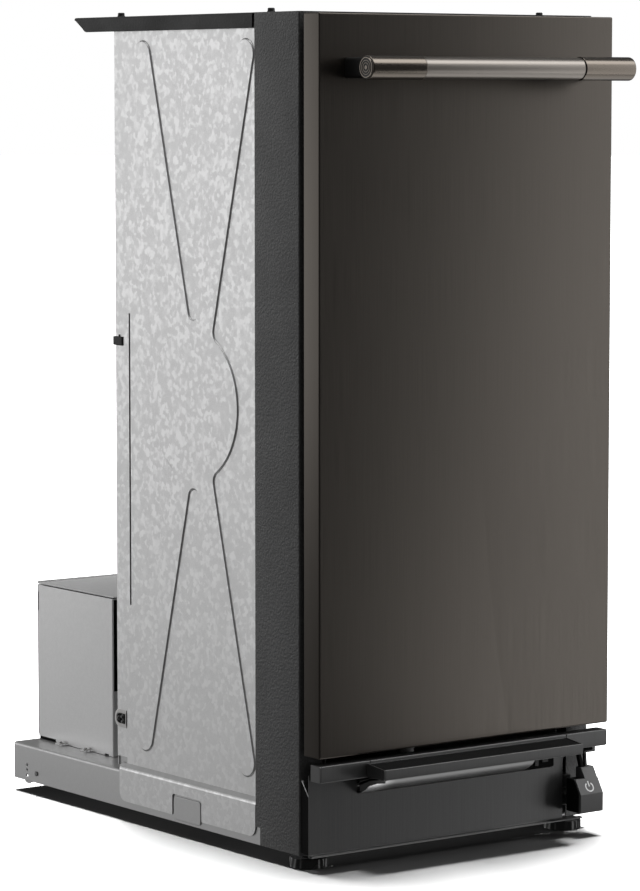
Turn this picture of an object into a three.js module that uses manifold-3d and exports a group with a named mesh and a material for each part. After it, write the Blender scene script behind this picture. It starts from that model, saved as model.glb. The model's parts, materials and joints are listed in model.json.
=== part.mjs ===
// A slim under-counter trash compactor: a steel cabinet on a base pan, a full-height drawer with a bin,
// a ram driven down by two power screws, a chain drive below the deck, and toe controls at the front.
// Millimetres. X runs left to right, Y runs from the front to the back, Z runs up from the floor.
// Inside the machine group, depth (Y) is counted from the drawer's front face.

import * as THREE from "three";
import { mergeVertices } from "three/addons/utils/BufferGeometryUtils.js";
import Module from "manifold-3d";

const wasm = await Module();
wasm.setup();

// Overall sizes
const WIDTH = 378;
const TOP = 858; // top of the cover, without its bumpers
const HANDLE_REACH = 61.2; // how far the handle stands out of the drawer's face
const PAN_REAR = 582; // depth of the base pan's back edge
const GAP = 0.4; // air between pieces that rest against each other
const SHEET = 1.2; // cabinet sheet steel

// Cabinet
const HALF = WIDTH / 2;
const SIDE_OUT = HALF - 3; // outer plane of a side panel; the trims and flanges stand proud of it
const SIDE_REAR = 368.5;
const TRIM_FRONT = 33.4;
const TRIM_REAR = 109.3;
const COVER_REAR = 442;
const COVER_FLANGE = 15.5;
const DECK = 54.5; // top of the base pan's deck
const PAN_HALF = HALF - SHEET - GAP;
const PAN_FRONT = 40;
const PAN_BOTTOM = 14.5;
const PAN_SHEET = 1.5;
const TRIM_NOTCH = { front: 101.5, top: 33 }; // at the foot of each trim
const SKIRT = { rear: 361, bottom: 22, window: [208, 259], windowTop: 41 };
const EMBOSS = { depth: 221.4, height: 457, armY: 93, armZ: 360, armHalf: 16, hub: 80, proud: 2.4 };

const FRAME_TOP = 842; // top of the beam that carries the power screws
const BUMPER = { x: 174, depths: { front: 101, rear: 373 }, radius: 3.6, top: 862.5 };
const CLIP = { front: 353, rear: 372, bottom: 511, top: 523 };
const BRACKET = { front: 352, rear: 374, bottom: 101, top: 120, holes: [357, 369], holeRadius: 2.4 };

// Motor compartment and rear support
const COVER = { half: 153, front: 428, rear: 581, top: 231.5 };
const COVER_WINDOW = { half: 140, bottom: 139, top: 222 }; // open towards the cabinet
const COVER_SLOT = { front: 545, top: 57.9 }; // under the cover's rear corners
const INLET = { y: 556, z: 96, bore: 9 };
const ROLLER = { x: 84, y: 549, radius: 16, half: 6, bore: 4 };
const LUG = { radius: 10.9, z: 22.4 }; // the rounded lobe of each pan flange, by the axle

// Drawer
const DRAWER_BOTTOM = 117.7;
const DRAWER_TOP = 856;
const DRAWER_DEPTH = 25.2;
const BIN = { half: 136, front: 42, rear: 352, bottom: 120, top: 520, wall: 2.5, rim: 6 };
const SLIDE_FRONT = 40;
const SLIDE_REAR = 360;
const SLIDE_X = 152.3; // outer face of the cabinet's slide members
const HANDLE = { depth: -49.2, height: 802.2, half: 169.3, seam: 102, endRadius: 12, barRadius: 11 };

// Drive
const SCREW_X = 166;
const SCREW_Y = 215;
const SCREW_RADIUS = 9.5;
const JOURNAL = 7;
const SPROCKET_RADIUS = 14;
const CHAIN_BOTTOM = 24;
const CHAIN_TOP = 31;
const GEAR_Y = 440;
const GEAR_TEETH = 36;
const PINION_TEETH = 12;
const MODULE = 2;
const GEAR_BOTTOM = 36;
const GEAR_TOP = 46;
const CENTRE_GAP = 0.35; // extra centre distance, which gives the teeth their backlash
const MOTOR_Y = GEAR_Y + (MODULE * (GEAR_TEETH + PINION_TEETH)) / 2 + CENTRE_GAP;
const CROSSHEAD_BOTTOM = 806;
const CROSSHEAD_TOP = 819.6;
const RAM_BOTTOM = 530;

// Toe controls
const PEDAL = { half: 130, front: -30, back: -0.6, top: 108, drop: 3, bottom: 92 };
const PEDAL_PIVOT = { y: 62, z: 72 };
const LATCH_PIVOT = { y: 104, z: 84 };
const START_PIVOT = { y: 9, z: 90.5 };
const TOE_FACE = 18.5;
const PLUNGER = { x: 150, z: 45, radius: 3 };

const finish = (color, roughness, metalness) =>
  new THREE.MeshStandardMaterial({ color, roughness, metalness });

const galvanised = finish(0xb4b6b8, 0.5, 0.8);
const zinc = finish(0xc8cacc, 0.35, 0.9);
const texturedBlack = finish(0x3c3d3f, 0.7, 0.2);
const bronzeSteel = finish(0x4a4540, 0.35, 0.8);
const polishedBronze = finish(0x6a625c, 0.22, 0.9);
const charcoal = finish(0x3a3a3c, 0.55, 0.2);
const blackPlastic = finish(0x1c1c1e, 0.55, 0);
const greyPlastic = finish(0x55585c, 0.6, 0);
const darkSteel = finish(0x5a5a5c, 0.4, 0.9);
const rubber = finish(0x181818, 0.85, 0);
const paintedMotor = finish(0x2a2c2e, 0.5, 0.3);

const group = new THREE.Group();
const machine = new THREE.Group();
machine.position.y = (HANDLE_REACH - PAN_REAR) / 2;
group.add(machine);

function add(name, geometry, material) {
  const mesh = new THREE.Mesh(geometry, material);
  mesh.name = name;
  machine.add(mesh);
  return mesh;
}

const sideName = (side) => (side < 0 ? "left" : "right");

// Basic solids

function block(x, y, z) {
  const [x0, x1] = [Math.min(...x), Math.max(...x)];
  const geometry = new THREE.BoxGeometry(x1 - x0, y[1] - y[0], z[1] - z[0]);
  return geometry.translate((x0 + x1) / 2, (y[0] + y[1]) / 2, (z[0] + z[1]) / 2);
}

function outline(points) {
  return new THREE.Shape(points.map(([a, b]) => new THREE.Vector2(a, b)));
}

function extrude(shape, depth, curveSegments = 12) {
  return new THREE.ExtrudeGeometry(shape, { depth, bevelEnabled: false, curveSegments });
}

// An outline of [y, z] points, carried along X
function alongX(points, x0, x1) {
  const shape = points instanceof THREE.Shape ? points : outline(points);
  const turn = new THREE.Matrix4().makeBasis(
    new THREE.Vector3(0, 1, 0),
    new THREE.Vector3(0, 0, 1),
    new THREE.Vector3(1, 0, 0),
  );
  return extrude(shape, Math.abs(x1 - x0)).applyMatrix4(turn).translate(Math.min(x0, x1), 0, 0);
}

// An outline of [x, z] points, carried along Y
function alongY(points, y0, y1) {
  return extrude(outline(points), y1 - y0).rotateX(Math.PI / 2).translate(0, y1, 0);
}

// An outline of [x, y] points, or a shape, carried along Z
function alongZ(points, z0, z1) {
  const shape = points instanceof THREE.Shape ? points : outline(points);
  return extrude(shape, z1 - z0).translate(0, 0, z0);
}

// A turned solid on a vertical axis, from a closed [radius, z] profile
function turned(profile, x, y, segments = 24) {
  const points = profile.map(([radius, z]) => new THREE.Vector2(radius, z));
  points.push(points[0].clone());
  return new THREE.LatheGeometry(points, segments).rotateX(Math.PI / 2).translate(x, y, 0);
}

const rod = (radius, z0, z1, x, y, segments = 24) =>
  turned([[0, z0], [radius, z0], [radius, z1], [0, z1]], x, y, segments);

const ring = (inner, outer, z0, z1, x, y, segments = 24) =>
  turned([[inner, z0], [outer, z0], [outer, z1], [inner, z1]], x, y, segments);

// The same solids on an axis along X, from x0 to x1
function lying(geometry, y, z) {
  return geometry.rotateY(Math.PI / 2).translate(0, y, z);
}

const rodX = (radius, x0, x1, y, z, segments = 24) =>
  lying(rod(radius, x0, x1, 0, 0, segments), y, z);

function rodY(radius, y0, y1, x, z, segments = 20) {
  return rod(radius, -y1, -y0, 0, 0, segments).rotateX(Math.PI / 2).translate(x, 0, z);
}

// Booleans

function toSolid(geometry) {
  const bare = geometry.clone();
  bare.deleteAttribute("normal");
  bare.deleteAttribute("uv");
  const merged = mergeVertices(bare, 1e-4);
  return new wasm.Manifold(new wasm.Mesh({
    numProp: 3,
    vertProperties: new Float32Array(merged.attributes.position.array),
    triVerts: new Uint32Array(merged.index.array),
  }));
}

function fromSolid(solid) {
  const mesh = solid.getMesh();
  const geometry = new THREE.BufferGeometry();
  geometry.setAttribute("position", new THREE.BufferAttribute(mesh.vertProperties, 3));
  geometry.setIndex(new THREE.BufferAttribute(mesh.triVerts, 1));
  return geometry;
}

const join = (...pieces) => fromSolid(pieces.map(toSolid).reduce((a, b) => a.add(b)));
const cut = (body, ...tools) => fromSolid(tools.map(toSolid).reduce((a, b) => a.subtract(b), toSolid(body)));

// Cabinet

function basePan() {
  const inside = PAN_HALF - PAN_SHEET;
  let pan = cut(
    block([-PAN_HALF, PAN_HALF], [PAN_FRONT, PAN_REAR], [PAN_BOTTOM, DECK]),
    block([-inside, inside], [PAN_FRONT + PAN_SHEET, PAN_REAR - PAN_SHEET], [0, DECK - PAN_SHEET]),
    rod(12, DECK - 5, DECK + 5, -SCREW_X, SCREW_Y),
    rod(12, DECK - 5, DECK + 5, SCREW_X, SCREW_Y),
    rod(8, DECK - 5, DECK + 5, 0, GEAR_Y),
    rod(8, DECK - 5, DECK + 5, 0, MOTOR_Y),
  );
  for (const side of [-1, 1]) {
    const tab = block([side * (PAN_HALF - 1), side * (PAN_HALF + 1)], [212, 255], [25, 38]);
    const flange = [side * inside, side * PAN_HALF].sort((a, b) => a - b);
    pan = join(pan, tab, rodX(LUG.radius, ...flange, ROLLER.y, LUG.z, 40));
  }
  return pan;
}

function capsule(y0, z0, y1, z1, radius) {
  const angle = Math.atan2(z1 - z0, y1 - y0);
  const shape = new THREE.Shape();
  shape.absarc(y1, z1, radius, angle - Math.PI / 2, angle + Math.PI / 2, false);
  shape.absarc(y0, z0, radius, angle + Math.PI / 2, angle + (3 * Math.PI) / 2, false);
  shape.closePath();
  return shape;
}

// The stiffening plateau: two crossed arms and a round hub, pressed outwards
function plateau(side) {
  const { depth, height, armY, armZ, armHalf, hub, proud } = EMBOSS;
  const x = [side * (SIDE_OUT - 0.5), side * (SIDE_OUT + proud)];
  const disc = new THREE.Shape().absarc(depth, height, hub, 0, 2 * Math.PI, false);
  const arms = [-1, 1].map((lean) =>
    alongX(
      capsule(depth - lean * armY, height - armZ, depth + lean * armY, height + armZ, armHalf),
      ...x,
    ));
  return join(alongX(disc, ...x), ...arms);
}

function sidePanel(side) {
  const inner = side * (SIDE_OUT - SHEET);
  const out = side * SIDE_OUT;
  const skirtTop = DECK + GAP + SHEET;
  const skirtFront = TRIM_REAR + 0.5;
  const skirt = cut(
    block([side * (HALF - SHEET), side * HALF], [skirtFront, SKIRT.rear], [SKIRT.bottom, skirtTop]),
    block([side * (HALF - 3), side * (HALF + 3)], SKIRT.window, [0, SKIRT.windowTop]),
  );
  return join(
    block([inner, out], [PAN_FRONT + 1, SIDE_REAR], [DECK + GAP, TOP - 2]),
    block([side * 165, out], [SIDE_REAR - SHEET, SIDE_REAR], [DECK + GAP, TOP - 2]),
    block([inner, side * HALF], [skirtFront, SKIRT.rear], [DECK + GAP, skirtTop]),
    skirt,
    plateau(side),
  );
}

function backPanel() {
  const half = SIDE_OUT - SHEET - 0.6;
  const depth = [365.6, 366.8];
  const ribs = [-90, 0, 90].map((x) => block([x - 14, x + 14], [364, 366], [180, 800]));
  return join(block([-half, half], depth, [DECK + GAP, TOP - 2]), ...ribs);
}

function topCover() {
  const half = HALF - SHEET - GAP;
  const flangeFront = TRIM_REAR + 4;
  const sheet = join(
    block([-half, half], [TRIM_FRONT + 2, COVER_REAR], [TOP - 1.5, TOP]),
    block([-HALF, HALF], [flangeFront, COVER_REAR], [TOP - 1.5, TOP]),
    block([-HALF, -HALF + SHEET], [flangeFront, COVER_REAR], [TOP - COVER_FLANGE, TOP]),
    block([HALF - SHEET, HALF], [flangeFront, COVER_REAR], [TOP - COVER_FLANGE, TOP]),
  );
  const slant = [
    [COVER_REAR - 20, TOP - COVER_FLANGE - 0.01],
    [COVER_REAR + 5, TOP - COVER_FLANGE - 0.01],
    [COVER_REAR + 5, TOP - 2],
    [COVER_REAR - 1, TOP - 2],
  ];
  return cut(sheet, alongX(slant, -HALF - 5, HALF + 5));
}

function frontTrim(side) {
  const inner = side * (HALF - 1.3);
  const face = join(
    block([inner, side * HALF], [TRIM_FRONT, TRIM_REAR], [15, TOP]),
    block([side * 160, side * HALF], [TRIM_FRONT, TRIM_FRONT + 1.5], [15, TOP]),
  );
  const { front, top } = TRIM_NOTCH;
  return cut(face, block([side * (HALF - 5), side * (HALF + 5)], [front, front + 20], [0, top]));
}

function screwFrame() {
  const half = SIDE_OUT - SHEET - GAP;
  const uprights = [-1, 1].map((side) =>
    block([side * 160, side * half], [236, 240], [DECK + GAP, FRAME_TOP]));
  const beam = cut(
    block([-half, half], [190, 240], [FRAME_TOP - 5, FRAME_TOP]),
    rod(JOURNAL + 0.5, 830, 850, -SCREW_X, SCREW_Y),
    rod(JOURNAL + 0.5, 830, 850, SCREW_X, SCREW_Y),
  );
  return join(beam, ...uprights);
}

function motorCover() {
  const { half, front, rear, top } = COVER;
  const slot = [DECK, COVER_SLOT.top];
  return cut(
    block([-half, half], [front, rear], [DECK + GAP, top]),
    block([SHEET - half, half - SHEET], [front + SHEET, rear - SHEET], [0, top - SHEET]),
    block([-COVER_WINDOW.half, COVER_WINDOW.half], [front - 5, front + 5],
      [COVER_WINDOW.bottom, COVER_WINDOW.top]),
    block([-half - 5, SHEET + 20 - half], [COVER_SLOT.front, rear + 5], slot),
    block([half - SHEET - 20, half + 5], [COVER_SLOT.front, rear + 5], slot),
    rodX(INLET.bore, half - 5, half + 5, INLET.y, INLET.z),
  );
}

function cordInlet() {
  const x = COVER.half;
  return lying(turned([[5, x - 6], [12, x - 6], [12, x - 1.6], [8.6, x - 1.6], [8.6, x + 0.4],
    [12, x + 0.4], [10, x + 6], [5, x + 6]], 0, 0, 24), INLET.y, INLET.z);
}

function motor() {
  return turned([[0, DECK + 4], [20, DECK + 4], [20, DECK + GAP], [37, DECK + GAP], [37, DECK + 8],
    [46, DECK + 8], [46, 176], [38, 188], [0, 188]], 0, MOTOR_Y, 36);
}

function sideClip() {
  const { front, rear, bottom, top } = CLIP;
  const x = [-HALF + 0.2, -SIDE_OUT - 0.3];
  return join(
    block(x, [front, rear], [bottom, top]),
    block([-HALF + 0.2, -178], [SIDE_REAR + 0.3, rear], [bottom, top]),
    block(x, [rear - 8, rear - 4], [top - 1, top + 6]),
  );
}

function sideBracket() {
  const { front, rear, bottom, top, holes, holeRadius } = BRACKET;
  const plate = block([-SIDE_OUT - 1.6, -SIDE_OUT - 0.3], [front, rear], [bottom, top]);
  const middle = (bottom + top) / 2;
  return cut(plate, ...holes.map((y) => rodX(holeRadius, -HALF - 5, -SIDE_OUT + 5, y, middle, 16)));
}

// Toe assembly

function toePanel() {
  const edge = HALF - 1;
  const face = cut(
    block([-edge, edge], [TOE_FACE, TOE_FACE + SHEET], [18, 99]),
    block([-128, PEDAL.half], [0, 60], [74, 93]),
    block([143, 200], [0, 60], [0, 84]),
  );
  return join(
    face,
    block([-edge, SHEET - edge], [TOE_FACE, TRIM_FRONT - 0.6], [18, 90]),
    block([edge - SHEET, edge], [TOE_FACE, TRIM_FRONT - 0.6], [84, 99]),
    block([-edge, 144], [14, TOE_FACE + SHEET], [15.3, 18.5]),
    block([143, 167], [14, TOE_FACE + SHEET], [15.3, 17.3]),
  );
}

function toeCrossBar() {
  const profile = [[0, 93.3], [16, 93.3], [16, 95.3], [2, 95.3], [2, 108.5], [16, 108.5], [16, 110.5],
    [0, 110.5]];
  const ends = [-1, 1].map((side) =>
    block([side * (HALF - 1), side * (HALF - 2.5)], [0, 16], [93.3, 110.5]));
  return join(alongX(profile, 1 - HALF, HALF - 1), ...ends);
}

function startHousing() {
  const body = block([141, 159], [24, 38.5], [30, 62]);
  return cut(body, rodY(PLUNGER.radius + GAP, 20, 36, PLUNGER.x, PLUNGER.z));
}

// Its face slopes back in one plane from the body up to the top of the neck
function startButton() {
  const body = alongX([[-10, 26], [14, 26], [14, 61], [-1.1, 61], [-10, 46]], 140, 175);
  const neck = alongX([[-1.3, 60.6], [14, 60.6], [14, 72], [5.5, 72]], 154, 174);
  const arms = [155, 170].map((x) => alongX([[7, 71], [11.5, 71], [11.5, 91], [7, 91]], x, x + 2.5));
  return join(body, neck, ...arms, rodX(2, 153, 174.5, START_PIVOT.y, START_PIVOT.z, 12));
}

function footPedal() {
  const { front, back, top, drop, bottom } = PEDAL;
  return alongX([[front, bottom], [back, bottom], [back, top], [front, top - drop]],
    -PEDAL.half, PEDAL.half);
}

function pedalLever() {
  const { y, z } = PEDAL_PIVOT;
  const plate = alongX([[-26, 88.6], [-2, 88.6], [18, 82.3], [y, z - 1.5], [y, z + 1.5], [20, 84.6],
    [-1, 91.4], [-26, 91.4]], -122, 122);
  const tail = alongX([[y, z - 1.5], [y + 23, z], [y + 23, z + 3], [y, z + 1.5]], -12, 12);
  return join(plate, tail, rodX(5, -150, 150, y, z, 20));
}

function latchLever() {
  const { y, z } = LATCH_PIVOT;
  const hook = alongX([[y - 24, z - 6], [y, z - 4], [y + 4, z], [y + 5, 115.5], [y - 4, 115.5],
    [y - 3, z + 6], [y - 24, z - 3]], -9, 9);
  return join(hook, rodX(5, -14, 14, y, z, 16));
}

// Drawer

function drawerFront() {
  return cut(
    block([-HALF, HALF], [0, DRAWER_DEPTH], [DRAWER_BOTTOM, DRAWER_TOP]),
    block([SHEET - HALF, HALF - SHEET], [SHEET, 40], [DRAWER_BOTTOM + SHEET, DRAWER_TOP - SHEET]),
  );
}

// The sound-deadening core that closes the back of the drawer front
const drawerLiner = () => block([-172, 172], [SHEET + GAP, 31], [123, 848]);

function drawerTray() {
  const [out, floor, wall, top] = [BIN.half + 2, 118, 1.4, 158];
  return alongY([[-out, floor], [out, floor], [out, top], [out - wall, top], [out - wall, floor + 1.5],
    [wall - out, floor + 1.5], [wall - out, top], [-out, top]], 32, 353);
}

function bin() {
  const { half, front, rear, bottom, top, wall, rim } = BIN;
  const body = join(
    block([-half, half], [front, rear], [bottom, top]),
    block([-half - rim, half + rim], [front - 5, rear + 5], [top - 3, top]),
  );
  return cut(body, block([wall - half, half - wall], [front + wall, rear - wall],
    [bottom + wall, top + 10]));
}

function bagRetainer(side) {
  const x = side * (BIN.half + 1);
  return turned([[0, BIN.top + GAP], [5, BIN.top + GAP], [3, BIN.top + 3], [5, BIN.top + 5],
    [0, BIN.top + 5]], x, 120, 16);
}

// The three nested members of a drawer slide, as outlines of [inset from SLIDE_X, height]

const slide = (side, profile, y0, y1) =>
  alongY(profile.map(([inset, z]) => [side * (SLIDE_X - inset), z]), y0, y1);

const slideOuter = (side) => slide(side, [[0, DECK + GAP], [0, 167], [9.8, 167], [9.8, 165.6],
  [1.4, 165.6], [1.4, 123.4], [9.8, 123.4], [9.8, 122], [1.4, 122], [1.4, DECK + GAP]],
SLIDE_FRONT, SLIDE_REAR);

const slideMiddle = (side) => slide(side, [[2.3, 125], [2.3, 164], [10.5, 164], [10.5, 162.6],
  [3.7, 162.6], [3.7, 126.4], [10.5, 126.4], [10.5, 125]], SLIDE_FRONT + 2, SLIDE_REAR - 2);

const slideInner = (side) => slide(side, [[13.8, 128], [4.7, 128], [4.7, 129.4], [12.4, 129.4],
  [12.4, 159.6], [4.7, 159.6], [4.7, 161], [13.8, 161]], SLIDE_FRONT - 4, SLIDE_REAR - 4);

function handleEnd(side) {
  const { depth, height, half, seam, endRadius } = HANDLE;
  const sleeve = rodX(endRadius, Math.min(side * seam, side * half), Math.max(side * seam, side * half),
    depth, height, 32);
  const post = block([side * 109, side * 158], [depth + 2, -GAP], [height - 10.3, height + 10.3]);
  return join(sleeve, post);
}

const handleBar = () => rodX(HANDLE.barRadius, GAP - HANDLE.seam, HANDLE.seam - GAP, HANDLE.depth,
  HANDLE.height, 32);

// Ram and drive

const ramCover = () => cut(
  block([-112, 112], [76, 318], [RAM_BOTTOM + 6.4, CROSSHEAD_BOTTOM - GAP]),
  block([-110.5, 110.5], [77.5, 316.5], [RAM_BOTTOM, CROSSHEAD_BOTTOM + 10]),
);

const ramPlate = () => block([-125, 125], [55, 339], [RAM_BOTTOM, RAM_BOTTOM + 6]);

function ramCrosshead() {
  const half = SIDE_OUT - SHEET - 0.8;
  const holes = [-1, 1].map((side) => rod(SCREW_RADIUS + 1, 800, 830, side * SCREW_X, SCREW_Y));
  return cut(block([-half, half], [196, 234], [CROSSHEAD_BOTTOM, CROSSHEAD_TOP]), ...holes);
}

const powerNut = (side) => ring(SCREW_RADIUS + 0.4, 13, CROSSHEAD_TOP + GAP, 834,
  side * SCREW_X, SCREW_Y);

const powerScrew = (side) => turned([[0, 20], [JOURNAL, 20], [JOURNAL, 64.5], [12, 64.5], [12, 68],
  [SCREW_RADIUS, 68], [SCREW_RADIUS, 835], [JOURNAL, 836], [JOURNAL, 841.5], [0, 841.5]],
side * SCREW_X, SCREW_Y, 20);

const screwBearing = (side) => ring(JOURNAL + GAP, 12.5, DECK + GAP, 64, side * SCREW_X, SCREW_Y);

const sprocket = (bore, x, y) => ring(bore, SPROCKET_RADIUS, CHAIN_BOTTOM, CHAIN_TOP, x, y, 36);

// The closed outline at one distance outside a convex loop of centres, which run anticlockwise
function loopAround(centres, radius) {
  const shape = new THREE.Shape();
  centres.forEach(([x, y], i) => {
    const [px, py] = centres.at(i - 1);
    const [nx, ny] = centres[(i + 1) % centres.length];
    const from = Math.atan2(y - py, x - px) - Math.PI / 2;
    const to = Math.atan2(ny - y, nx - x) - Math.PI / 2;
    shape.absarc(x, y, radius, from, to, false);
  });
  shape.closePath();
  return shape;
}

function driveChain() {
  const centres = [[-SCREW_X, SCREW_Y], [SCREW_X, SCREW_Y], [0, GEAR_Y]];
  const band = loopAround(centres, SPROCKET_RADIUS + 4);
  band.holes.push(new THREE.Path(loopAround(centres, SPROCKET_RADIUS + 0.6).getPoints(8).reverse()));
  return extrude(band, CHAIN_TOP - CHAIN_BOTTOM, 8).translate(0, 0, CHAIN_BOTTOM);
}

// A spur gear's outline: straight-sided teeth that lie inside the true involute
function gearOutline(teeth, x, y, phase) {
  const pitch = (MODULE * teeth) / 2;
  const tip = pitch + 0.85 * MODULE;
  const root = pitch - 1.15 * MODULE;
  const share = (2 * Math.PI) / teeth;
  const points = [];
  for (let tooth = 0; tooth < teeth; tooth += 1) {
    const at = phase + tooth * share;
    for (const [radius, offset] of [[root, -0.33], [pitch, -0.2], [tip, -0.09], [tip, 0.09],
      [pitch, 0.2], [root, 0.33]]) {
      const angle = at + offset * share;
      points.push([x + radius * Math.cos(angle), y + radius * Math.sin(angle)]);
    }
  }
  return points;
}

function driveGear() {
  const wheel = alongZ(gearOutline(GEAR_TEETH, 0, GEAR_Y, Math.PI / 2), GEAR_BOTTOM, GEAR_TOP);
  const lightening = [0, 1, 2, 3].map((i) => {
    const angle = (i * Math.PI) / 2;
    return rod(8, 30, 50, 20 * Math.cos(angle), GEAR_Y + 20 * Math.sin(angle), 20);
  });
  return join(cut(wheel, ...lightening), rod(6, 20, 60, 0, GEAR_Y, 24));
}

function motorPinion() {
  const facing = -Math.PI / 2 + Math.PI / PINION_TEETH; // a tooth gap faces the gear's tooth
  const wheel = alongZ(gearOutline(PINION_TEETH, 0, MOTOR_Y, facing), GEAR_BOTTOM, GEAR_TOP);
  return join(wheel, rod(4, 34, DECK + 3.6, 0, MOTOR_Y, 20));
}

// Feet and rollers

const frontFoot = (side) => turned([[0, 0], [19, 0], [20, 1.5], [20, 9], [17, 12], [5, 12.5], [5, 50],
  [0, 50]], side * 167, 47);

const rearRoller = (side) => lying(ring(ROLLER.bore + 0.3, ROLLER.radius, side * ROLLER.x - ROLLER.half,
  side * ROLLER.x + ROLLER.half, 0, 0, 48), ROLLER.y, ROLLER.radius);

const bumper = (side, y) => turned([[0, TOP + GAP], [BUMPER.radius + 0.6, TOP + GAP],
  [BUMPER.radius, TOP + 2], [BUMPER.radius, BUMPER.top - 0.8], [BUMPER.radius - 0.8, BUMPER.top],
  [0, BUMPER.top]], side * BUMPER.x, y, 24);

// Assembly

add("base_pan", basePan(), galvanised);
add("back_panel", backPanel(), galvanised);
add("top_cover", topCover(), texturedBlack);
add("screw_frame", screwFrame(), darkSteel);
add("motor_cover", motorCover(), galvanised);
add("cord_inlet", cordInlet(), blackPlastic);
add("motor", motor(), paintedMotor);
add("side_clip", sideClip(), blackPlastic);
add("side_bracket", sideBracket(), zinc);
add("rear_axle", rodX(ROLLER.bore, 0.7 - PAN_HALF + PAN_SHEET, PAN_HALF - PAN_SHEET - 0.7, ROLLER.y,
  ROLLER.radius, 16), darkSteel);
add("drive_chain", driveChain(), darkSteel);
add("toe_panel", toePanel(), charcoal);
add("toe_cross_bar", toeCrossBar(), charcoal);
add("start_switch_housing", startHousing(), blackPlastic);
add("start_button", startButton(), blackPlastic);
add("start_plunger", rodY(PLUNGER.radius, 14.6, 32, PLUNGER.x, PLUNGER.z), zinc);
add("foot_pedal", footPedal(), charcoal);
add("pedal_lever", pedalLever(), zinc);
add("drawer_latch", latchLever(), zinc);

add("drawer_front", drawerFront(), bronzeSteel);
add("drawer_liner", drawerLiner(), greyPlastic);
add("drawer_tray", drawerTray(), galvanised);
add("bin", bin(), greyPlastic);
add("handle_bar", handleBar(), polishedBronze);

add("ram_crosshead", ramCrosshead(), darkSteel);
add("ram_cover", ramCover(), galvanised);
add("ram_plate", ramPlate(), darkSteel);
add("drive_gear", driveGear(), darkSteel);
add("drive_sprocket", sprocket(6.4, 0, GEAR_Y), darkSteel);
add("motor_pinion", motorPinion(), darkSteel);

for (const side of [-1, 1]) {
  const name = sideName(side);
  add(`side_panel_${name}`, sidePanel(side), galvanised);
  add(`front_trim_${name}`, frontTrim(side), texturedBlack);
  add(`slide_outer_${name}`, slideOuter(side), zinc);
  add(`slide_middle_${name}`, slideMiddle(side), zinc);
  add(`slide_inner_${name}`, slideInner(side), zinc);
  add(`handle_end_${name}`, handleEnd(side), polishedBronze);
  add(`bag_retainer_${name}`, bagRetainer(side), blackPlastic);
  add(`power_screw_${name}`, powerScrew(side), zinc);
  add(`power_nut_${name}`, powerNut(side), darkSteel);
  add(`screw_bearing_${name}`, screwBearing(side), darkSteel);
  add(`screw_sprocket_${name}`, sprocket(JOURNAL + GAP, side * SCREW_X, SCREW_Y), darkSteel);
  add(`front_foot_${name}`, frontFoot(side), rubber);
  add(`rear_roller_${name}`, rearRoller(side), blackPlastic);
  add(`top_bumper_front_${name}`, bumper(side, BUMPER.depths.front), rubber);
  add(`top_bumper_rear_${name}`, bumper(side, BUMPER.depths.rear), rubber);
}

export default group;
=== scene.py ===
import json
import math

import bmesh
import bpy
from mathutils import Matrix, Vector
from mathutils.geometry import delaunay_2d_cdt

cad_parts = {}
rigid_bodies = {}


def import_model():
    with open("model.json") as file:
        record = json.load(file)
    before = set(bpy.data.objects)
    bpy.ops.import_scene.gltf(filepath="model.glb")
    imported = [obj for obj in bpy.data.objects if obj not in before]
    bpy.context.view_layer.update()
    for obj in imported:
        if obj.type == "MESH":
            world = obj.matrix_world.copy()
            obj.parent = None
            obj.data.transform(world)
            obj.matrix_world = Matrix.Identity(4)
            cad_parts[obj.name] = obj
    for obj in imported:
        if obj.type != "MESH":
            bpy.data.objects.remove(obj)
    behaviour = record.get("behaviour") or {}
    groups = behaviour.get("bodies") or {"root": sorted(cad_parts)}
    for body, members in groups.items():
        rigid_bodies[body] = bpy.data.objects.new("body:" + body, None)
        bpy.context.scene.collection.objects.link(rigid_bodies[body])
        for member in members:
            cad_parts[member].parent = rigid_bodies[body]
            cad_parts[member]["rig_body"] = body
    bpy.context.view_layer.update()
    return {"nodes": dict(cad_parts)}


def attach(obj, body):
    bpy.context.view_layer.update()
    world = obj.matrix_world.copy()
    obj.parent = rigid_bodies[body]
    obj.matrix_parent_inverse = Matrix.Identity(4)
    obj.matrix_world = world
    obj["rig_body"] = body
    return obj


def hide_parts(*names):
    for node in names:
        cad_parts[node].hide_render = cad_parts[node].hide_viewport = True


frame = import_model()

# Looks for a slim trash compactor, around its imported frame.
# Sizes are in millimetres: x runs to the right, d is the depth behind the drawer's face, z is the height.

scene = bpy.context.scene

MM = 0.001
DEPTH_ORIGIN = 260.4  # depth of the row frame's Y = 0
HALF = 189.0  # half the cabinet's width
PANEL = 186.0  # a side panel's flat face, from the middle
SHEET = 1.2  # the sheet metal's thickness
DECK = 54.5  # the top of the base pan
TOP = 858.0  # the top of the top cover
SCREW_X, SCREW_D = 166.0, 215.0  # a power screw's axis
GEAR_D = 440.0  # the drive gear's axis
REAR = 368.5  # the back of the cabinet
HANDLE = (0, -49.2, 802.2)  # a point on the handle's axis
SIDES = {-1: "left", 1: "right"}


def at(x, d, z):
    return Vector((x, d - DEPTH_ORIGIN, z)) * MM


# Along each axis, where an outline's point (u, v) lies at the level w
PLACES = {
    "x": lambda u, v, w: at(w, u, v),
    "d": lambda u, v, w: at(u, w, v),
    "z": lambda u, v, w: at(u, v, w),
}


# ---------------------------------------------------------------- outlines and solids

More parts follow.
